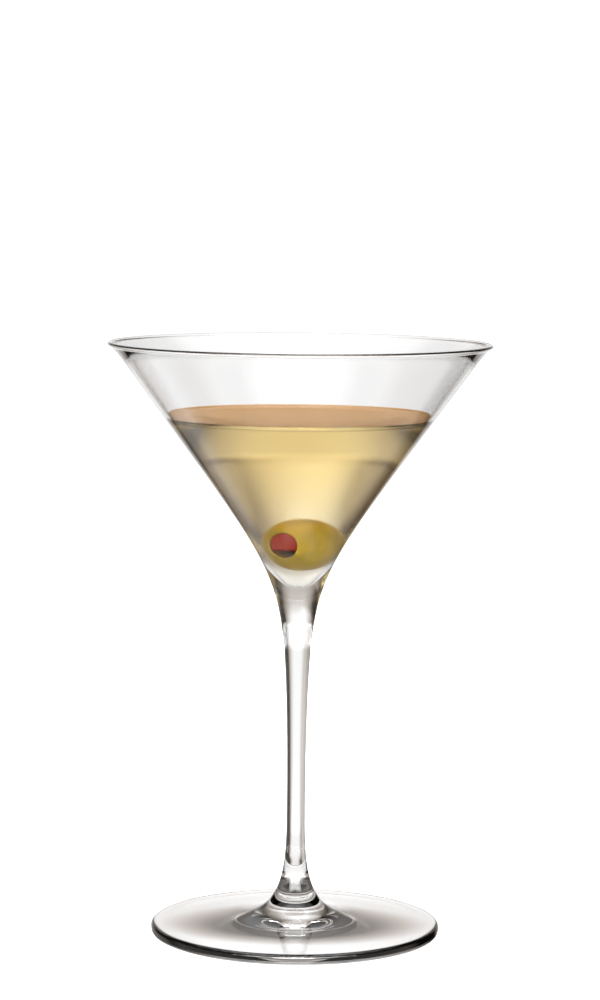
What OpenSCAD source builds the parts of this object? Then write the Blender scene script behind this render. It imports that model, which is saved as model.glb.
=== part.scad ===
// Martini cocktail: a stemmed glass with a conical bowl, filled with a pale golden drink,
// and a stuffed green olive wedged in the point of the cone.
// Millimetres, +Z up. The origin is the middle of the foot, on the table.

/* [Overall size] */
// Height of the glass, from the table to the rim
total_h = 180; // [160:1:216]
// Outer diameter of the rim
rim_d = 116; // [97:1:139]
// Diameter of the foot
foot_d = 88; // [74:1:106]

/* [Bowl] */
// Angle between the bowl's wall and the axis, in degrees
bowl_angle = 36; // [32:1:40]
// Wall thickness at the rim
rim_wall = 1.2; // [1:0.1:2.4]
// Wall thickness near the point of the cone
tip_wall = 1.9; // [1.5:0.1:3]
// Radius of the rounded point inside the bowl
tip_r = 4; // [2:0.5:6]
// How far the lip flares out past the straight wall
lip_flare = 1.75; // [0:0.25:2.5]
// Height over which that flare fades away
lip_fade = 1.4; // [1:0.1:2.5]
// Softness of the turn from the stem into the bowl
bowl_blend = 5.3; // [3:0.1:7]

/* [Stem] */
// Diameter of the stem at its narrowest
stem_d = 5.6; // [4.5:0.1:8]
// Extra radius that the stem gains by the point of the bowl
stem_gain = 1.6; // [0.5:0.1:3]

/* [Foot] */
// Thickness of the foot at its edge
foot_edge = 3.1; // [2.4:0.1:4]
// Rise of the foot's top from the edge to the outer end of the stem's flare
foot_rise = 1.26; // [0.6:0.02:3]
// Rounding of the foot's edge
foot_round = 1.2; // [0.6:0.1:1.2]
// Hollow under the middle of the foot
foot_hollow = 1.8; // [0:0.1:2.5]
// Width of the flat ring that the foot stands on
rest_w = 1.5; // [1:0.5:6]
// Height of the flare between foot and stem
flare_h = 38.34; // [25:0.01:45]
// Width of the flare between foot and stem
flare_w = 22; // [10:0.1:24]
// Tightness of that flare: 2 is a quarter of an ellipse, more is tighter
flare_power = 3.85; // [2:0.05:4.5]

/* [Drink] */
// Depth of the drink's surface below the rim
drink_drop = 22.8; // [15:0.1:35]

/* [Olive] */
// Length of the olive
olive_l = 21; // [18:0.5:25]
// Thickness of the olive
olive_d = 18.4; // [14:0.2:20]
// Direction that the stuffed end points in, from the right-hand side, in degrees
olive_turn = 238; // [0:1:359]
// How far the stuffed end dips, in degrees
olive_dip = 5.5; // [0:0.5:12]
// How far the olive lies to the side of the glass's axis
olive_shift = 0.9; // [0:0.1:1.2]
// Distance between the olive and the bowl's wall
olive_gap = 0.3; // [0.2:0.1:1]
// Diameter of the pitted hole
hole_d = 8.4; // [6:0.2:9]
// Depth of the pitted hole
hole_depth = 14; // [8:1:16]

/* [Stuffing] */
// How far the stuffing lies inside the mouth of the hole
stuffing_inset = 0.6; // [0.2:0.1:2]
// Height of the open slot below the stuffing
slot_h = 2.1; // [1:0.1:3]

/* [Hidden] */
$fn = 96;

// How finely each stretch of the outlines is stepped
lip_steps = 10;
wall_steps = 52;
flare_steps = 18;
round_steps = 5;
foot_steps = 10;
tip_steps = 8;
olive_steps = 28;

// The lip's curve is followed over this many fades; below that the wall is straight
lip_zone = 6;

// Bowl: the outer cone, then the inner one that leaves the stated walls
wall_slope = tan(bowl_angle);
rim_z = total_h - rim_wall / 2;
cone_z = rim_z - (rim_d / 2 - lip(rim_z)) / wall_slope;
inner_z = cone_z + tip_wall / cos(bowl_angle) / wall_slope;
inner_slope = (cone_r(rim_z) - rim_wall / cos(bowl_angle)) / (rim_z - inner_z);
inner_angle = atan(inner_slope);
tip_mid_z = inner_z + tip_r / sin(inner_angle);

// Foot: where its top turns into the flare, and where the flare ends in the stem
foot_top_z = foot_edge + foot_rise;
waist_z = foot_top_z + flare_h;
flare_r = stem_d / 2 + flare_w;
rest_out_r = foot_d / 2 - foot_round;
rest_in_r = rest_out_r - rest_w;
foot_slope = foot_rise / (rest_out_r - flare_r);

drink_z = total_h - drink_drop;

// Olive: half sizes, and the seat where both ends touch the cone
olive_a = olive_l / 2;
olive_b = olive_d / 2;
low_reach = olive_reach(olive_dip);
high_reach = olive_reach(-olive_dip);
olive_z = inner_z + ((low_reach + high_reach) / 2 + olive_gap) / sin(inner_angle);
olive_slip = (high_reach - low_reach) / 2 / cos(inner_angle);
hole_mouth = olive_a * sqrt(1 - pow(hole_d / olive_d, 2));

// Outward flare of the lip at a height
function lip(z) = lip_flare * exp((z - total_h) / lip_fade);

// Radius of the plain outer cone at a height
function cone_r(z) = (z - cone_z) * wall_slope;

// Radius of the stem, which widens slowly towards the bowl
function stem_r(z) = stem_d / 2 + stem_gain * pow((z - waist_z) / (cone_z - waist_z), 2);

// Outer radius of stem and bowl: the larger of the two, with a soft turn between them
function outer_r(z) =
    stem_r(z) + bowl_blend * ln(1 + exp((cone_r(z) - stem_r(z)) / bowl_blend)) + lip(z);

// Inner radius of the bowl above its rounded point
function inner_r(z) = (z - inner_z) * inner_slope + lip(z);

// Height of the foot's top, a shallow cone
function foot_top(r) = foot_edge + foot_slope * (rest_out_r - r);

// A point of the flare, a tightened quarter ellipse that is sheared to start along the cone
function flare_point(inward, low) =
    [flare_r - inward, waist_z - flare_h * low + foot_slope * inward * low];

// Distance from the olive's middle to its skin, square to the wall that an end leans on
function olive_reach(dip) =
    norm([olive_a * cos(inner_angle - dip), olive_b * sin(inner_angle - dip)]);

// Points round an arc in the half plane of an outline
function arc(r, z, radius, from, to, steps) =
    [for (i = [0:steps]) let (t = from + (to - from) * i / steps)
        [r + radius * cos(t), z + radius * sin(t)]];

// Heights from one level to another
function levels(from, to, steps) = [for (i = [0:steps]) from + (to - from) * i / steps];

// The underside: a shallow hollow, then the flat ring
underside = [for (i = [0:foot_steps]) let (s = i / foot_steps)
    [rest_in_r * s, foot_hollow * (1 - s * s)]];

// The foot's edge, rounded below and above
edge = concat(
    arc(rest_out_r, foot_round, foot_round, -90, 0, round_steps),
    arc(rest_out_r, foot_edge - foot_round, foot_round, 0, 90, round_steps));

// The foot's top, from the edge in to the flare
foot_cone = [[rest_out_r, foot_top(rest_out_r)], [flare_r, foot_top(flare_r)]];

// The flare, from the foot's top up to the waist
flare = [for (i = [1:flare_steps]) let (t = 90 * i / flare_steps)
    flare_point(flare_w * pow(sin(t), 2 / flare_power), pow(cos(t), 2 / flare_power))];

// Stem and bowl up to where the lip begins, then the lip
lip_z = rim_z - lip_zone * lip_fade;
outer_wall = concat(
    [for (z = levels(waist_z, lip_z, wall_steps)) [outer_r(z), z]],
    [for (z = levels(lip_z, rim_z, lip_steps)) [outer_r(z), z]]);

// The rim, rounded from the outer face over to the inner one
rim_half = (outer_r(rim_z) - inner_r(rim_z)) / 2;
rim = [for (t = [0:180 / (2 * round_steps):180])
    [inner_r(rim_z) + rim_half * (1 + cos(t)), rim_z + rim_wall / 2 * sin(t)]];

// The inside of the lip, and the rounded point of the cone
inner_lip = [for (z = levels(rim_z, lip_z, lip_steps)) [inner_r(z), z]];
tip = [for (t = levels(-inner_angle, -90, tip_steps))
    [tip_r * cos(t), tip_mid_z + tip_r * sin(t)]];

// Sets the olive and its stuffing in the point of the cone
module seat_olive() {
    translate([0, 0, olive_z])
        rotate([0, 0, olive_turn])
            translate([olive_slip, olive_shift, 0])
                rotate([0, 90 + olive_dip, 0])
                    children();
}

module olive_body() {
    rotate_extrude()
        polygon([for (t = levels(90, -90, olive_steps)) [olive_b * cos(t), olive_a * sin(t)]]);
}

module pitted_hole(inset) {
    translate([0, 0, hole_mouth - hole_depth])
        cylinder(h = hole_depth - inset, d = hole_d);
}

module glass() {
    color([0.93, 0.94, 0.94, 0.4])
        rotate_extrude()
            polygon(concat(underside, edge, foot_cone, flare, outer_wall, rim, inner_lip, tip));
}

module drink() {
    color([0.95, 0.87, 0.6, 0.7])
        difference() {
            rotate_extrude()
                polygon(concat(tip, [[0, drink_z], [inner_r(drink_z), drink_z]]));
            olive();
            pimento();
        }
}

module olive() {
    color([0.72, 0.6, 0.14])
        seat_olive()
            difference() {
                olive_body();
                pitted_hole(-olive_a);
            }
}

module pimento() {
    color([0.66, 0.16, 0.1])
        seat_olive()
            difference() {
                pitted_hole(stuffing_inset);
                translate([hole_d / 2 - slot_h, -hole_d, -olive_l])
                    cube([hole_d, 2 * hole_d, 2 * olive_l]);
            }
}

glass();
drink();
olive();
pimento();
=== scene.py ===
import math

import bmesh
import bpy
from bpy.props import FloatProperty, FloatVectorProperty, IntProperty, PointerProperty
from mathutils import Matrix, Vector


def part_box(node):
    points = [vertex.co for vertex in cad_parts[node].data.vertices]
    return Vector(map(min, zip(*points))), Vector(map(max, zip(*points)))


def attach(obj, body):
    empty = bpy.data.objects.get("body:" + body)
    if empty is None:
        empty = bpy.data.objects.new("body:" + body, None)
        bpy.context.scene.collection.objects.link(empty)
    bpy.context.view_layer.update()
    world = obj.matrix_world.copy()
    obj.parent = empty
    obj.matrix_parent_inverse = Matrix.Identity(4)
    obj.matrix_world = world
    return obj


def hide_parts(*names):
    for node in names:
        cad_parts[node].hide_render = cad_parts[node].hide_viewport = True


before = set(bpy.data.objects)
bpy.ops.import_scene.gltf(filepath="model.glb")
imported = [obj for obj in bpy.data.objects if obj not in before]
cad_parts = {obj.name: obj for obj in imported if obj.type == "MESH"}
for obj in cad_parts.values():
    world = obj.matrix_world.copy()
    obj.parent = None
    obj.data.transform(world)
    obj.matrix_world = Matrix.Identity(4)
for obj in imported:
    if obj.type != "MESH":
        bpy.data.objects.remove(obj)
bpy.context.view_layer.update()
GLASS_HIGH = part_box("glass")[1]
DRINK_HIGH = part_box("drink")[1]

bl_info = {
    "name": "Martini cocktail",
    "version": (1, 0, 0),
    "blender": (4, 5, 0),
    "location": "3D View > Sidebar > Martini",
    "description": "Builds a stemmed cocktail glass with its drink and a stuffed olive",
    "category": "Add Mesh",
}

MERGE_DISTANCE = 1e-7
FULL_TURN = 2 * math.pi
RIGHT_ANGLE = math.pi / 2


# ---------------------------------------------------------------- sizes and colours


def length(name, description, default):
    """A length in metres for a PropertyGroup."""
    return FloatProperty(
        name=name, description=description, default=default, unit="LENGTH", precision=5
    )


def angle(name, description, degrees):
    """An angle for a PropertyGroup, given here in degrees."""
    return FloatProperty(
        name=name, description=description, default=math.radians(degrees), subtype="ANGLE"
    )


def colour(name, description, default):
    """A colour for a PropertyGroup."""
    return FloatVectorProperty(
        name=name, description=description, default=default, subtype="COLOR", size=3, min=0, max=1
    )


def number(name, description, default):
    """A plain number for a PropertyGroup."""
    return FloatProperty(name=name, description=description, default=default)


def count(name, description, default):
    """A whole number for a PropertyGroup."""
    return IntProperty(name=name, description=description, default=default)


class GlassSettings(bpy.types.PropertyGroup):
    """The stemmed glass."""

    height: length("Height", "From the table to the rim", GLASS_HIGH.z)
    rim_radius: length("Rim radius", "Outer radius of the rim", GLASS_HIGH.x)
    foot_radius: length("Foot radius", "Outer radius of the foot", 0.044)
    bowl_angle: angle("Bowl angle", "Between the bowl's wall and the axis", 36)
    rim_wall: length("Rim wall", "Wall thickness at the rim", 0.0012)
    tip_wall: length("Tip wall", "Wall thickness near the point of the cone", 0.0019)
    tip_radius: length("Tip radius", "Rounded point inside the bowl", 0.004)
    lip_flare: length("Lip flare", "How far the lip flares out", 0.00175)
    lip_fade: length("Lip fade", "Height over which the flare fades", 0.0014)
    bowl_blend: length("Bowl blend", "Softness of the turn from stem to bowl", 0.0053)
    stem_radius: length("Stem radius", "At the narrowest point", 0.0028)
    stem_gain: length("Stem gain", "Extra radius by the point of the bowl", 0.0016)
    foot_edge: length("Foot edge", "Thickness of the foot at its edge", 0.0031)
    foot_rise: length("Foot rise", "Rise of the foot's top to the flare", 0.00126)
    foot_round: length("Foot rounding", "Rounding of the foot's edge", 0.0012)
    foot_hollow: length("Foot hollow", "Hollow under the middle of the foot", 0.0018)
    rest_width: length("Resting ring", "Width of the flat ring under the foot", 0.0015)
    flare_height: length("Flare height", "Of the flare between foot and stem", 0.03834)
    flare_width: length("Flare width", "Of the flare between foot and stem", 0.022)
    flare_power: number("Flare power", "Tightness of the flare", 3.85)
    segments: count("Segments", "Steps round the glass", 192)


class DrinkSettings(bpy.types.PropertyGroup):
    """The drink in the bowl."""

    level: length("Level", "Height of the drink's flat surface", DRINK_HIGH.z)
    reach: length("Reach", "How far the drink reaches into the wall", 0.0001)
    taper: length("Taper", "Height over which that reach fades below the surface", 0.004)
    climb: length("Climb", "Sets how far the drink climbs the wall", 0.0017)
    climb_slope: angle("Climb slope", "Slope of the surface where it meets the wall", 35)
    film_lift: length("Film lift", "Gap between the drink and the film on it", 0.00003)
    film_depth: length("Film depth", "Thickness of the film on the drink", 0.00004)
    film: colour("Film", "Colour of the thin film of brine and oil", (0.5, 0.26, 0.075))
    depth_tint: colour("Depth tint", "Colour that deep drink takes", (0.985, 0.795, 0.2))
    density: number("Density", "How fast the depth tint builds up, per metre", 20.0)


class OliveSettings(bpy.types.PropertyGroup):
    """The olive and its stuffing."""

    half_length: length("Half length", "Half the olive's length", 0.0105)
    radius: length("Radius", "Half the olive's thickness", 0.0092)
    turn: angle("Turn", "Direction of the stuffed end, from the right-hand side", 238)
    dip: angle("Dip", "How far the stuffed end dips", 5.5)
    shift: length("Shift", "How far the olive lies beside the axis", 0.0009)
    gap: length("Gap", "Between the olive and the wall", 0.0003)
    hole_radius: length("Hole radius", "Of the pitted hole", 0.0042)
    hole_depth: length("Hole depth", "Of the pitted hole", 0.014)
    lip: length("Lip", "Rounding of the skin at the hole's mouth", 0.0005)
    inset: length("Inset", "Of the stuffing in the hole's mouth", 0.0006)
    fold: length("Fold", "Rounding of the stuffing's end", 0.0006)
    floor_gap: length("Floor gap", "Between the stuffing and the hole's end", 0.0002)
    fill: number("Fill", "The stuffing's radius as a share of the hole's", 0.985)
    slot: length("Slot", "Height of the open slot below the stuffing", 0.0021)
    skin: colour("Skin", "Ripe side of the olive", (0.95, 0.64, 0.04))
    shade: colour("Shade", "Greener patches of the skin", (0.72, 0.5, 0.03))
    pepper: colour("Pepper", "Colour of the stuffing", (0.75, 0.05, 0.02))


class StageSettings(bpy.types.PropertyGroup):
    """Camera and studio."""

    distance: length("Distance", "From the camera to the glass's axis", 0.975)
    camera_height: length("Camera height", "Above the floor", 0.2357)
    side: length("Side", "How far the camera stands to the right", 0.00033)
    pitch: angle("Pitch", "How far the camera looks down", 6.044)
    roll: angle("Roll", "How far the camera leans", 0.57)
    lens: number("Lens", "Focal length in millimetres", 116.9)
    floor_size: length("Floor size", "Width of the floor", 3.0)
    floor_drop: length("Floor drop", "How far the floor lies below the foot", 0.0002)
    shade_drop: length("Shade drop", "How far the shade lies below the foot", 0.0001)
    shade_inset: length("Shade inset", "How far the shade stays inside the foot", 0.0005)
    key: number("Key", "Strength of the light behind the camera", 15.0)
    zenith: number("Zenith", "Strength of the light straight above", 2.5)
    plain: number("Plain", "Brightness of the plain background", 1.2)
    dim: colour("Dim", "Colour of the studio's dim parts", (1, 0.85, 0.72))


# ---------------------------------------------------------------- shader maths


class Value:
    """A number or colour from a node, on which Python's operators add Math nodes."""

    def __init__(self, board, socket):
        self.board = board
        self.socket = socket

    def math(self, operation, *others, **settings):
        """Adds a Math node with this value first."""
        values = {0: self}
        values.update({i + 1: other for i, other in enumerate(others)})
        return self.board.node("ShaderNodeMath", {"operation": operation, **settings}, values)

    def __add__(self, other):
        return self.math("ADD", other)

    def __radd__(self, other):
        return self.math("ADD", other)

    def __sub__(self, other):
        return self.math("SUBTRACT", other)

    def __rsub__(self, other):
        return self.board.node("ShaderNodeMath", {"operation": "SUBTRACT"}, {0: other, 1: self})

    def __mul__(self, other):
        return self.math("MULTIPLY", other)

    def __rmul__(self, other):
        return self.math("MULTIPLY", other)

    def __truediv__(self, other):
        return self.math("DIVIDE", other)

    def clamp(self):
        """This value, held between 0 and 1."""
        return self.math("ADD", 0.0, use_clamp=True)


class Board:
    """A node tree that is filled by one method."""

    def __init__(self, tree):
        self.tree = tree
        tree.nodes.clear()

    def node(self, kind, settings=None, values=None, output=0):
        """Adds a node: its settings first, then the values or links of its sockets."""
        made = self.tree.nodes.new(kind)
        for name, setting in (settings or {}).items():
            if name == "stops":
                self.set_stops(made.color_ramp, setting)
            else:
                setattr(made, name, setting)
        for name, value in (values or {}).items():
            if isinstance(value, Value):
                self.tree.links.new(value.socket, made.inputs[name])
            else:
                made.inputs[name].default_value = value
        return Value(self, made.outputs[output]) if made.outputs else None

    @staticmethod
    def set_stops(ramp, stops):
        """Places a ramp's stops, each a position and a colour."""
        while len(ramp.elements) < len(stops):
            ramp.elements.new(1.0)
        for element, (position, shade) in zip(ramp.elements, stops):
            element.position = position
            element.color = (*shade, 1.0)

    def mix(self, factor, first, second):
        """Mixes two colours."""
        return self.node(
            "ShaderNodeMix", {"data_type": "RGBA"}, {0: factor, 6: first, 7: second}, output=2
        )

    def coordinates(self, name):
        """One output of Texture Coordinate, by its name."""
        return self.node("ShaderNodeTexCoord", output=name)

    def noise(self, vector, scale, detail=2.0, roughness=0.5):
        """Soft random blotches, as many per metre as the scale."""
        return self.node(
            "ShaderNodeTexNoise",
            None,
            {"Vector": vector, "Scale": scale, "Detail": detail, "Roughness": roughness},
        )


def new_material(name):
    """A material with an empty node tree, and its board."""
    material = bpy.data.materials.new(name)
    material.use_nodes = True
    return material, Board(material.node_tree)


def rgba(shade):
    """A colour with its alpha, as sockets want it."""
    return (*shade, 1.0)


# ---------------------------------------------------------------- materials


def clear_glass():
    """Polished clear glass."""
    material, board = new_material("clear_glass")
    surface = board.node(
        "ShaderNodeBsdfPrincipled",
        None,
        {"Base Color": (1, 1, 1, 1), "Roughness": 0.0, "IOR": 1.5, "Transmission Weight": 1.0},
    )
    board.node("ShaderNodeOutputMaterial", None, {"Surface": surface})
    return material


def golden_drink(settings):
    """Pale golden liquid."""
    material, board = new_material("golden_drink")
    surface = board.node(
        "ShaderNodeBsdfPrincipled",
        None,
        {
            "Base Color": (1, 1, 1, 1),
            "Roughness": 0.16,
            "IOR": 1.345,
            "Transmission Weight": 1.0,
        },
    )
    volume = board.node(
        "ShaderNodeVolumeAbsorption",
        None,
        {"Color": rgba(settings.depth_tint), "Density": settings.density},
    )
    board.node("ShaderNodeOutputMaterial", None, {"Surface": surface, "Volume": volume})
    return material


def thin_film(settings):
    """Barely opaque film, thicker in slow drifts."""
    material, board = new_material("thin_film")
    drift = board.noise(board.coordinates("Object"), 60.0, 2.0)
    base = board.mix(drift, rgba([c * 0.9 for c in settings.film]), rgba(settings.film))
    surface = board.node(
        "ShaderNodeBsdfPrincipled",
        None,
        {"Base Color": base, "Roughness": 0.5, "Specular IOR Level": 0.0, "Alpha": 0.35},
    )
    board.node("ShaderNodeOutputMaterial", None, {"Surface": surface})
    return material


def olive_skin(settings):
    """Cured olive skin: mottled, waxy, with fine pale flecks."""
    material, board = new_material("olive_skin")
    place = board.coordinates("Object")
    mottle = board.noise(place, 180.0, 4.0, 0.6)
    flecks = board.noise(place, 1400.0, 2.0)
    patches = board.node(
        "ShaderNodeValToRGB",
        {"stops": [(0.35, settings.shade), (0.65, settings.skin)]},
        {"Fac": mottle},
    )
    fleck_mask = ((flecks - 0.62) * 8.0).clamp()
    base = board.mix(fleck_mask * 0.25, patches, rgba([min(1, c * 1.5) for c in settings.skin]))
    bump = board.node(
        "ShaderNodeBump",
        None,
        {"Strength": 0.15, "Distance": 0.0002, "Height": mottle * 0.6 + flecks * 0.4},
    )
    surface = board.node(
        "ShaderNodeBsdfPrincipled",
        None,
        {
            "Base Color": base,
            "Roughness": mottle * 0.2 + 0.25,
            "Normal": bump,
            "Subsurface Weight": 0.15,
            "Subsurface Radius": (0.002, 0.0015, 0.0005),
            "Subsurface Scale": 1.0,
        },
    )
    board.node("ShaderNodeOutputMaterial", None, {"Surface": surface})
    return material


def red_pepper(settings):
    """Soft red pepper strip, darker in soft blotches."""
    material, board = new_material("red_pepper")
    place = board.coordinates("Object")
    streaks = board.noise(place, 500.0, 3.0, 0.6)
    dark = [c * 0.6 for c in settings.pepper]
    base = board.mix(streaks, rgba(dark), rgba(settings.pepper))
    bump = board.node(
        "ShaderNodeBump", None, {"Strength": 0.3, "Distance": 0.0002, "Height": streaks}
    )
    surface = board.node(
        "ShaderNodeBsdfPrincipled",
        None,
        {"Base Color": base, "Roughness": streaks * 0.2 + 0.3, "Normal": bump},
    )
    board.node("ShaderNodeOutputMaterial", None, {"Surface": surface})
    return material


def white_table():
    """Evenly lit white table top."""
    material, board = new_material("white_table")
    surface = board.node(
        "ShaderNodeBsdfPrincipled",
        None,
        {
            "Base Color": (0.9, 0.9, 0.9, 1),
            "Roughness": 0.6,
            "Emission Color": (1, 1, 1, 1),
            "Emission Strength": 1.0,
        },
    )
    board.node("ShaderNodeOutputMaterial", None, {"Surface": surface})
    return material


def shaded_table(reach):
    """The table top under the foot, with a painted shadow in its emission: dark in the middle and white
    again near its reach.
    """
    material, board = new_material("shaded_table")
    moved = board.node(
        "ShaderNodeMapping",
        None,
        {"Vector": board.coordinates("Object"), "Location": (0, 0.003, 0), "Scale": (1, 1.6, 1)},
    )
    distance = board.node("ShaderNodeVectorMath", {"operation": "LENGTH"}, {0: moved}, output=1)
    shade = board.node(
        "ShaderNodeValToRGB",
        {
            "stops": [
                (0.0, (0.02, 0.015, 0.01)),
                (0.55, (0.03, 0.025, 0.02)),
                (0.75, (0.5, 0.45, 0.42)),
                (0.95, (1, 1, 1)),
            ]
        },
        {"Fac": distance / reach},
    )
    surface = board.node(
        "ShaderNodeBsdfPrincipled",
        None,
        {
            "Base Color": (0, 0, 0, 1),
            "Roughness": 1.0,
            "Emission Color": shade,
            "Emission Strength": 1.1,
        },
    )
    board.node("ShaderNodeOutputMaterial", None, {"Surface": surface})
    return material


# ---------------------------------------------------------------- outlines


class GlassShape:
    """The outline of the glass, worked out from its sizes. Radii and heights are in metres.

    The lip's flare has faded away at LIP_FADES times its fading height below the rim.
    """

    LIP_FADES = 6

    def __init__(self, s):
        self.s = s
        # The bowl: cone_z and inner_z are the points of its outer and inner cones.
        self.slope = math.tan(s.bowl_angle)
        self.rim_z = s.height - s.rim_wall / 2
        self.cone_z = self.rim_z - (s.rim_radius - self.lip(self.rim_z)) / self.slope
        wall_across = 1 / math.cos(s.bowl_angle)
        self.inner_z = self.cone_z + s.tip_wall * wall_across / self.slope
        self.inner_slope = (self.cone_r(self.rim_z) - s.rim_wall * wall_across) / (
            self.rim_z - self.inner_z
        )
        self.inner_angle = math.atan(self.inner_slope)
        self.tip_mid_z = self.inner_z + s.tip_radius / math.sin(self.inner_angle)
        # The foot: its flare starts at flare_r and ends in the stem at waist_z.
        self.foot_top_z = s.foot_edge + s.foot_rise
        self.waist_z = self.foot_top_z + s.flare_height
        self.flare_r = s.stem_radius + s.flare_width
        self.rest_out = s.foot_radius - s.foot_round
        self.rest_in = self.rest_out - s.rest_width
        self.foot_slope = s.foot_rise / (self.rest_out - self.flare_r)
        self.lip_z = self.rim_z - self.LIP_FADES * s.lip_fade

    def lip(self, z):
        """How far the lip flares out at a height."""
        return self.s.lip_flare * math.exp((z - self.s.height) / self.s.lip_fade)

    def cone_r(self, z):
        """The bowl's plain outer cone."""
        return (z - self.cone_z) * self.slope

    def stem_r(self, z):
        """The stem, which thickens towards the bowl."""
        rise = (z - self.waist_z) / (self.cone_z - self.waist_z)
        return self.s.stem_radius + self.s.stem_gain * rise**2

    def outer_r(self, z):
        """The outer wall: stem and cone with a soft turn between them, and the lip."""
        stem, blend = self.stem_r(z), self.s.bowl_blend
        return stem + blend * math.log1p(math.exp((self.cone_r(z) - stem) / blend)) + self.lip(z)

    def inner_r(self, z):
        """The wall inside the bowl."""
        return (z - self.inner_z) * self.inner_slope + self.lip(z)

    def foot_top(self, r):
        """Height of the foot's top, which rises evenly from the edge to the flare."""
        return self.s.foot_edge + self.foot_slope * (self.rest_out - r)

    def underside(self, steps=16):
        """The shallow hollow under the foot, out to the resting ring."""
        hollow = self.s.foot_hollow
        return [(self.rest_in * t, hollow * (1 - t * t)) for t in spread(0, 1, steps)]

    def edge(self, steps=8):
        """The foot's rounded edge."""
        s = self.s
        low = arc(self.rest_out, s.foot_round, s.foot_round, -RIGHT_ANGLE, 0, steps)
        high = arc(self.rest_out, s.foot_edge - s.foot_round, s.foot_round, 0, RIGHT_ANGLE, steps)
        return low + high

    def foot_cone(self, steps=16):
        """The foot's top, in short steps that keep the smooth shading true."""
        return [(r, self.foot_top(r)) for r in spread(self.rest_out, self.flare_r, steps)][1:]

    def flare(self, steps=60):
        """The superellipse that lifts the foot into the stem."""
        s, power = self.s, 2 / self.s.flare_power
        curve = []
        for t in spread(0, RIGHT_ANGLE, steps)[1:]:
            inward = s.flare_width * math.sin(t) ** power
            low = abs(math.cos(t)) ** power
            lean = self.foot_slope * inward * low
            curve.append((self.flare_r - inward, self.waist_z - s.flare_height * low + lean))
        return curve

    def outer_wall(self, steps=90, lip_steps=16):
        """Stem and bowl, with closer steps in the lip."""
        wall = [(self.outer_r(z), z) for z in spread(self.waist_z, self.lip_z, steps)][1:]
        lip = [(self.outer_r(z), z) for z in spread(self.lip_z, self.rim_z, lip_steps)][1:]
        return wall + lip

    def rim(self, steps=12):
        """The rounded rim, from the outer wall to the inner."""
        inner = self.inner_r(self.rim_z)
        half = (self.outer_r(self.rim_z) - inner) / 2
        return [
            (inner + half * (1 + math.cos(t)), self.rim_z + self.s.rim_wall / 2 * math.sin(t))
            for t in spread(0, math.pi, steps)
        ][1:]

    def inner_lip(self, steps=16):
        """The inside of the lip."""
        return [(self.inner_r(z), z) for z in spread(self.rim_z, self.lip_z, steps)][1:]

    def inner_wall(self, steps=20):
        """The inner cone, down to its rounded point."""
        low = self.tip_mid_z - self.s.tip_radius * math.sin(self.inner_angle)
        return [(self.inner_r(z), z) for z in spread(self.lip_z, low, steps)][1:]

    def tip(self, reach=0.0, steps=14):
        """The rounded point inside the bowl, or one that lies a reach outside it."""
        radius = self.s.tip_radius + reach
        return [
            (radius * math.cos(t), self.tip_mid_z + radius * math.sin(t))
            for t in spread(-self.inner_angle, -RIGHT_ANGLE, steps)
        ]

    def outline(self):
        """The whole glass, from the middle of its underside to the point inside the bowl."""
        return (
            self.underside()
            + self.edge()
            + self.foot_cone()
            + self.flare()
            + self.outer_wall()
            + self.rim()
            + self.inner_lip()
            + self.inner_wall()
            + self.tip()[1:]
        )


def spread(start, stop, steps):
    """Evenly spaced values from start to stop."""
    return [start + (stop - start) * i / steps for i in range(steps + 1)]


def arc(r, z, radius, start, stop, steps):
    """Points round an arc in the half plane of an outline."""
    return [
        (r + radius * math.cos(t), z + radius * math.sin(t)) for t in spread(start, stop, steps)
    ]


# ---------------------------------------------------------------- mesh helpers


def turned(outline, segments):
    """A closed shell turned from an outline of (radius, height) points round the Z axis."""
    mesh = bmesh.new()
    points = [mesh.verts.new((max(r, 0.0), 0.0, z)) for r, z in outline]
    edges = [mesh.edges.new(pair) for pair in zip(points, points[1:])]
    bmesh.ops.spin(
        mesh,
        geom=points + edges,
        cent=(0, 0, 0),
        axis=(0, 0, 1),
        angle=FULL_TURN,
        steps=segments,
        use_merge=True,
    )
    close_shell(mesh)
    return mesh


def close_shell(mesh):
    """Merges the poles and seams, and turns the faces outwards."""
    bmesh.ops.remove_doubles(mesh, verts=mesh.verts, dist=MERGE_DISTANCE)
    bmesh.ops.dissolve_degenerate(mesh, edges=mesh.edges, dist=MERGE_DISTANCE)
    bmesh.ops.recalc_face_normals(mesh, faces=mesh.faces)


def piece_from(mesh, name, material):
    """Makes a smooth object of a bmesh and frees it."""
    for face in mesh.faces:
        face.smooth = True
    data = bpy.data.meshes.new(name)
    mesh.to_mesh(data)
    mesh.free()
    data.materials.append(material)
    piece = bpy.data.objects.new(name, data)
    bpy.context.scene.collection.objects.link(piece)
    return piece


def mount(piece, node):
    """Puts a piece on the CAD body in place of its node."""
    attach(piece, "root")
    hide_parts(node)


# ---------------------------------------------------------------- pieces


class MARTINI_OT_glass(bpy.types.Operator):
    """Turn the glass: bowl, stem and foot in one piece"""

    bl_idname = "martini.glass"
    bl_label = "Glass"

    def execute(self, context):
        settings = context.scene.martini_glass
        shape = GlassShape(settings)
        mesh = turned(shape.outline(), settings.segments)
        piece = piece_from(mesh, "stemmed_glass", clear_glass())
        mount(piece, "glass")
        return {"FINISHED"}


def drink_surface(shape, drink, steps=40, flattest=0.01):
    """The drink's surface from the wall inwards, wetting the wall where they meet."""
    steepest = drink.climb_slope

    def run(lean):
        return drink.climb * (-math.log(math.tan(lean / 4)) - 2 * math.cos(lean / 2))

    leans = [steepest * (flattest / steepest) ** t for t in spread(0, 1, steps)]
    heights = [drink.level + 2 * drink.climb * math.sin(lean / 2) for lean in leans]
    rim = shape.inner_r(heights[0])
    curve = [(rim - run(lean) + run(steepest), z) for lean, z in zip(leans, heights)]
    return curve + [(0.0, drink.level)]


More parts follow.
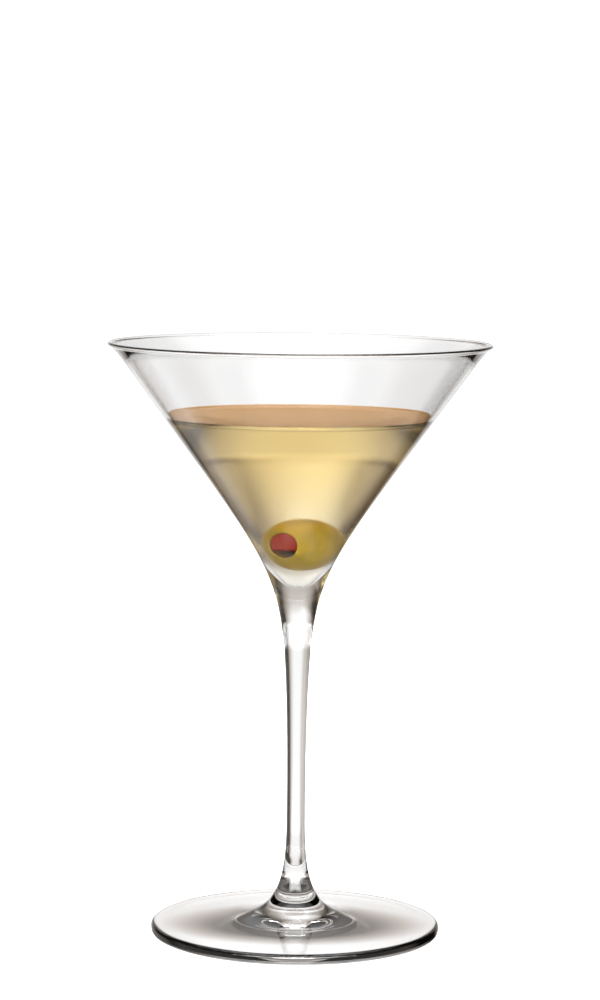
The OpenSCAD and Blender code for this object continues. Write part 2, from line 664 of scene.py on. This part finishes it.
class MARTINI_OT_drink(bpy.types.Operator):
    """Fill the bowl up to its level, with the drink climbing a little at the wall"""

    bl_idname = "martini.drink"
    bl_label = "Drink"

    def outline(self, shape, drink, steps=30):
        """The point, the wall, which fades to its true radius at the surface, and the surface."""
        side = drink.reach / math.cos(shape.inner_angle)
        tip = list(reversed(shape.tip(drink.reach)))
        surface = drink_surface(shape, drink)
        low, high = tip[-1][1], surface[0][1]
        wall = [
            (shape.inner_r(z) + side * min(1, (high - z) / drink.taper), z)
            for z in spread(low, high, steps)
        ]
        return tip + wall[1:-1] + surface

    def execute(self, context):
        glass, drink = context.scene.martini_glass, context.scene.martini_drink
        mesh = turned(self.outline(GlassShape(glass), drink), glass.segments)
        piece = piece_from(mesh, "golden_drink", golden_drink(drink))
        mount(piece, "drink")
        return {"FINISHED"}


class MARTINI_OT_film(bpy.types.Operator):
    """Spread the thin film that brine and oil from the olive leave on the drink"""

    bl_idname = "martini.film"
    bl_label = "Film"

    def execute(self, context):
        glass, drink = context.scene.martini_glass, context.scene.martini_drink
        curve = drink_surface(GlassShape(glass), drink)
        low = [(r, z + drink.film_lift) for r, z in curve]
        high = [(r, z + drink.film_depth) for r, z in low]
        mesh = turned(list(reversed(low)) + high, glass.segments)
        piece = piece_from(mesh, "surface_film", thin_film(drink))
        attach(piece, "root")
        return {"FINISHED"}


def olive_seat(glass, olive):
    """The transform that wedges the olive, its long axis on Z, in the point of the cone."""
    shape = GlassShape(glass)

    def reach(dip):
        """From the olive's middle to a wall of the cone that its long axis leans to by a dip."""
        along = olive.half_length * math.cos(shape.inner_angle - dip)
        across = olive.radius * math.sin(shape.inner_angle - dip)
        return math.hypot(along, across)

    low, high = reach(olive.dip), reach(-olive.dip)
    z = shape.inner_z + ((low + high) / 2 + olive.gap) / math.sin(shape.inner_angle)
    slip = (high - low) / 2 / math.cos(shape.inner_angle)
    return (
        Matrix.Translation((0, 0, z))
        @ Matrix.Rotation(olive.turn, 4, "Z")
        @ Matrix.Translation((slip, olive.shift, 0))
        @ Matrix.Rotation(RIGHT_ANGLE + olive.dip, 4, "Y")
    )


def hole_mouth(olive):
    """Distance from the olive's middle to the mouth of its hole."""
    return olive.half_length * math.sqrt(1 - (olive.hole_radius / olive.radius) ** 2)


class MARTINI_OT_olive(bpy.types.Operator):
    """Shape the pitted olive and wedge it in the point of the cone"""

    bl_idname = "martini.olive"
    bl_label = "Olive"

    def outline(self, olive):
        """The hole's floor and wall, the roll of its lip and the skin down to the far end."""
        lip, mouth = olive.lip, hole_mouth(olive)
        floor = mouth - olive.hole_depth
        start = math.asin(min(1, (olive.hole_radius + lip) / olive.radius))
        skin = [
            (olive.radius * math.sin(t), olive.half_length * math.cos(t))
            for t in spread(start, math.pi, 60)
        ]
        rounding = [
            (
                olive.hole_radius + lip * (1 - math.sin(t)),
                mouth - 1.6 * lip + 1.4 * lip * math.cos(t) ** 0.5,
            )
            for t in spread(RIGHT_ANGLE, 0.3, 6)
        ]
        walls = [(olive.hole_radius, z) for z in spread(floor, mouth - 1.8 * lip, 10)]
        return [(0.0, floor)] + walls + rounding + skin

    def execute(self, context):
        glass, olive = context.scene.martini_glass, context.scene.martini_olive
        mesh = turned(self.outline(olive), 96)
        bmesh.ops.transform(mesh, matrix=olive_seat(glass, olive), verts=mesh.verts)
        piece = piece_from(mesh, "pitted_olive", olive_skin(olive))
        mount(piece, "olive")
        return {"FINISHED"}


class MARTINI_OT_stuffing(bpy.types.Operator):
    """Shape the red pepper stuffing, rounded at its end, and set it in the olive's hole"""

    bl_idname = "martini.stuffing"
    bl_label = "Stuffing"

    def execute(self, context):
        glass, olive = context.scene.martini_glass, context.scene.martini_olive
        mesh = bmesh.new()
        bmesh.ops.create_circle(mesh, cap_ends=True, radius=olive.hole_radius * olive.fill, segments=64)
        flat = olive.hole_radius - olive.slot
        bmesh.ops.bisect_plane(
            mesh,
            geom=mesh.verts[:] + mesh.edges[:] + mesh.faces[:],
            plane_co=(flat, 0, 0),
            plane_no=(1, 0, 0),
            clear_outer=True,
        )
        floor = hole_mouth(olive) - olive.hole_depth
        bmesh.ops.translate(mesh, verts=mesh.verts, vec=(0, 0, floor + olive.floor_gap))
        run = olive.hole_depth - olive.inset - olive.floor_gap
        grown = bmesh.ops.extrude_face_region(mesh, geom=mesh.faces[:])
        top = [v for v in grown["geom"] if isinstance(v, bmesh.types.BMVert)]
        bmesh.ops.translate(mesh, verts=top, vec=(0, 0, run))
        bmesh.ops.recalc_face_normals(mesh, faces=mesh.faces)
        ends = [e for e in mesh.edges if all(v in top for v in e.verts)]
        bmesh.ops.bevel(
            mesh,
            geom=ends,
            offset=olive.fold,
            segments=4,
            profile=0.5,
            affect="EDGES",
            material=-1,
        )
        bmesh.ops.transform(mesh, matrix=olive_seat(glass, olive), verts=mesh.verts)
        piece = piece_from(mesh, "pepper_stuffing", red_pepper(olive))
        mount(piece, "pimento")
        return {"FINISHED"}


# ---------------------------------------------------------------- stage


class Studio:
    """Directions round the glass as shader values, from turns and heights in degrees.

    Turn 0 lies straight beyond the glass, 180 behind the camera, and turns count up to the right.
    A colour ramp stops at 1, so a profile is kept in it as a share of RAMP_TOP.
    """

    RAMP_TOP = 2.0

    def __init__(self, board):
        self.board = board
        split = board.node("ShaderNodeSeparateXYZ", None, {0: board.coordinates("Generated")})
        self.x, self.y, z = (Value(board, output) for output in split.socket.node.outputs)
        self.flat = (self.x * self.x + self.y * self.y).math("SQRT")
        self.height = z.math("ARCSINE") / math.pi + 0.5

    def lean(self, turn):
        """The cosine of the angle between a direction and a turn, seen from above."""
        along, across = math.cos(math.radians(turn)), math.sin(math.radians(turn))
        return (self.y * along + self.x * across) / self.flat

    def lobe(self, turn, focus):
        """A soft patch round a turn, narrower with more focus."""
        return ((self.lean(turn) - 1) * focus).math("EXPONENT")

    def sweep(self, turn, inner, outer):
        """1 as far as inner to each side of a turn, fading to 0 at outer."""
        near, far = math.cos(math.radians(inner)), math.cos(math.radians(outer))
        return ((self.lean(turn) - far) / (near - far)).clamp()

    def profile(self, *stops):
        """Brightness over height, from pairs of a height and its brightness."""
        shades = [((height + 90) / 180, (v / self.RAMP_TOP,) * 3) for height, v in stops]
        ramp = self.board.node("ShaderNodeValToRGB", {"stops": shades}, {"Fac": self.height})
        return ramp * self.RAMP_TOP


def light_beyond(studio):
    """The backdrop and all that stands before it: table end, horizon, softbox and side glow."""
    profile, sweep = studio.profile, studio.sweep
    runner = profile((-40, 0), (-32, 0.15), (-26, 0.8), (-21, 0.85), (-19, 0))
    horizon = profile((-21, 0), (-19, 0.9), (-13, 0.95), (-10, 0))
    backdrop = profile(
        (-14, 0), (-10, 1.0), (-3, 0.95), (0, 1.15), (3, 1.05), (7, 0.75), (10, 0.57),
        (15, 0.54), (19, 0.6), (23, 0),
    )
    softbox = profile((19, 0), (23, 1.0), (30, 1.05), (37, 0.8), (44, 0.6), (50, 0))
    glow = profile((1, 0), (3, 0.25), (6, 0.25), (8, 0))
    return (
        runner * sweep(0, 8, 20)
        + horizon * sweep(0, 14, 29)
        + backdrop * sweep(0, 10, 34)
        + softbox * studio.lobe(-7, 10)
        + glow * sweep(-24, 10, 22)
    )


def light_above(studio, stage):
    """A ceiling that is dimmer straight beyond the glass, and a bright zenith."""
    ceiling = studio.profile((42, 0), (46, 0.6), (50, 1.15), (58, 1.2), (64, 1.6), (70, 2.0))
    zenith = studio.profile((58, 0), (70, 1), (90, 1))
    return ceiling * (1 - studio.sweep(0, 20, 60) * 0.5) + zenith * stage.zenith


def light_around(studio, stage):
    """The dim room, the table, panels at the sides and back, and the key light on the olive."""
    profile, sweep = studio.profile, studio.sweep
    room = profile((-90, 0.08), (-30, 0.05), (-20, 0.02), (42, 0.02), (50, 0))
    table = profile((-90, 0.5), (-50, 0.55), (-36, 0.5), (-31, 0.15), (-25, 0.03), (-20, 0))
    around = profile((-52, 0), (-42, 0.6), (-30, 0.7), (10, 0.65), (22, 0.4), (32, 0))
    corner = profile((-48, 0), (-38, 0.55), (-8, 0.55), (4, 0.2), (10, 0))
    key = profile((11, 0), (16, 1), (29, 1), (35, 0))
    return (
        room
        + table * sweep(0, 45, 95)
        + around * (1 - sweep(0, 62, 80))
        + corner * sweep(-45, 12, 22)
        + key * sweep(180, 28, 45) * stage.key
    )


class MARTINI_OT_stage(bpy.types.Operator):
    """Set up the white table, the studio light and the camera"""

    bl_idname = "martini.stage"
    bl_label = "Stage"

    def floor(self, stage):
        """The table top, for the camera alone, as the studio's panels light the pieces."""
        mesh = bmesh.new()
        bmesh.ops.create_grid(mesh, x_segments=1, y_segments=1, size=stage.floor_size / 2)
        bmesh.ops.translate(mesh, verts=mesh.verts, vec=(0, 0, -stage.floor_drop))
        floor = piece_from(mesh, "table", white_table())
        floor.visible_diffuse = False
        floor.visible_glossy = False
        floor.visible_transmission = False
        floor.visible_shadow = False

    def contact_shadow(self, glass, stage):
        """A painted soft shadow on the table under the foot, standing for the shade that the foot's
        thick middle leaves there.
        """
        mesh = bmesh.new()
        bmesh.ops.create_circle(
            mesh, cap_ends=True, radius=glass.foot_radius - stage.shade_inset, segments=96
        )
        bmesh.ops.translate(mesh, verts=mesh.verts, vec=(0, 0, -stage.shade_drop))
        piece_from(mesh, "contact_shadow", shaded_table(glass.foot_radius))

    def light(self, stage):
        """Light for the pieces from the studio's panels, behind a plain background."""
        world = bpy.data.worlds.new("studio")
        bpy.context.scene.world = world
        world.use_nodes = True
        board = Board(world.node_tree)
        studio = Studio(board)
        light = light_beyond(studio) + light_above(studio, stage) + light_around(studio, stage)
        shade = board.mix(light.clamp(), rgba(stage.dim), (1, 1, 1, 1))
        panels = board.node("ShaderNodeBackground", None, {"Color": shade, "Strength": light})
        plain = board.node(
            "ShaderNodeBackground", None, {"Color": (1, 1, 1, 1), "Strength": stage.plain}
        )
        seen_directly = board.node("ShaderNodeLightPath", output="Is Camera Ray")
        mixed = board.node("ShaderNodeMixShader", None, {0: seen_directly, 1: panels, 2: plain})
        board.node("ShaderNodeOutputWorld", None, {"Surface": mixed})

    def camera(self, stage):
        """The camera, level with the drink and tilted down a little."""
        data = bpy.data.cameras.new("camera")
        data.lens = stage.lens
        data.sensor_width = 36.0
        data.clip_start = 0.01
        data.clip_end = 50.0
        camera = bpy.data.objects.new("camera", data)
        camera.matrix_world = (
            Matrix.Translation((stage.side, -stage.distance, stage.camera_height))
            @ Matrix.Rotation(RIGHT_ANGLE - stage.pitch, 4, "X")
            @ Matrix.Rotation(stage.roll, 4, "Z")
        )
        bpy.context.scene.collection.objects.link(camera)
        bpy.context.scene.camera = camera

    def execute(self, context):
        stage = context.scene.martini_stage
        self.floor(stage)
        self.contact_shadow(context.scene.martini_glass, stage)
        self.light(stage)
        self.camera(stage)
        context.scene.view_settings.view_transform = "Standard"
        return {"FINISHED"}


# ---------------------------------------------------------------- add-on


class MARTINI_PT_panel(bpy.types.Panel):
    """Lists the pieces of the martini"""

    bl_label = "Martini"
    bl_space_type = "VIEW_3D"
    bl_region_type = "UI"
    bl_category = "Martini"

    def draw(self, context):
        for operator in OPERATORS:
            self.layout.operator(operator.bl_idname)


SETTINGS = {
    "martini_glass": GlassSettings,
    "martini_drink": DrinkSettings,
    "martini_olive": OliveSettings,
    "martini_stage": StageSettings,
}
OPERATORS = (
    MARTINI_OT_glass,
    MARTINI_OT_drink,
    MARTINI_OT_film,
    MARTINI_OT_olive,
    MARTINI_OT_stuffing,
    MARTINI_OT_stage,
)


def register():
    for name, group in SETTINGS.items():
        bpy.utils.register_class(group)
        setattr(bpy.types.Scene, name, PointerProperty(type=group))
    for operator in OPERATORS:
        bpy.utils.register_class(operator)
    bpy.utils.register_class(MARTINI_PT_panel)


def unregister():
    bpy.utils.unregister_class(MARTINI_PT_panel)
    for operator in reversed(OPERATORS):
        bpy.utils.unregister_class(operator)
    for name, group in reversed(SETTINGS.items()):
        delattr(bpy.types.Scene, name)
        bpy.utils.unregister_class(group)


def main():
    register()
    bpy.ops.martini.glass()
    bpy.ops.martini.drink()
    bpy.ops.martini.film()
    bpy.ops.martini.olive()
    bpy.ops.martini.stuffing()
    bpy.ops.martini.stage()


if __name__ == "__main__":
    main()
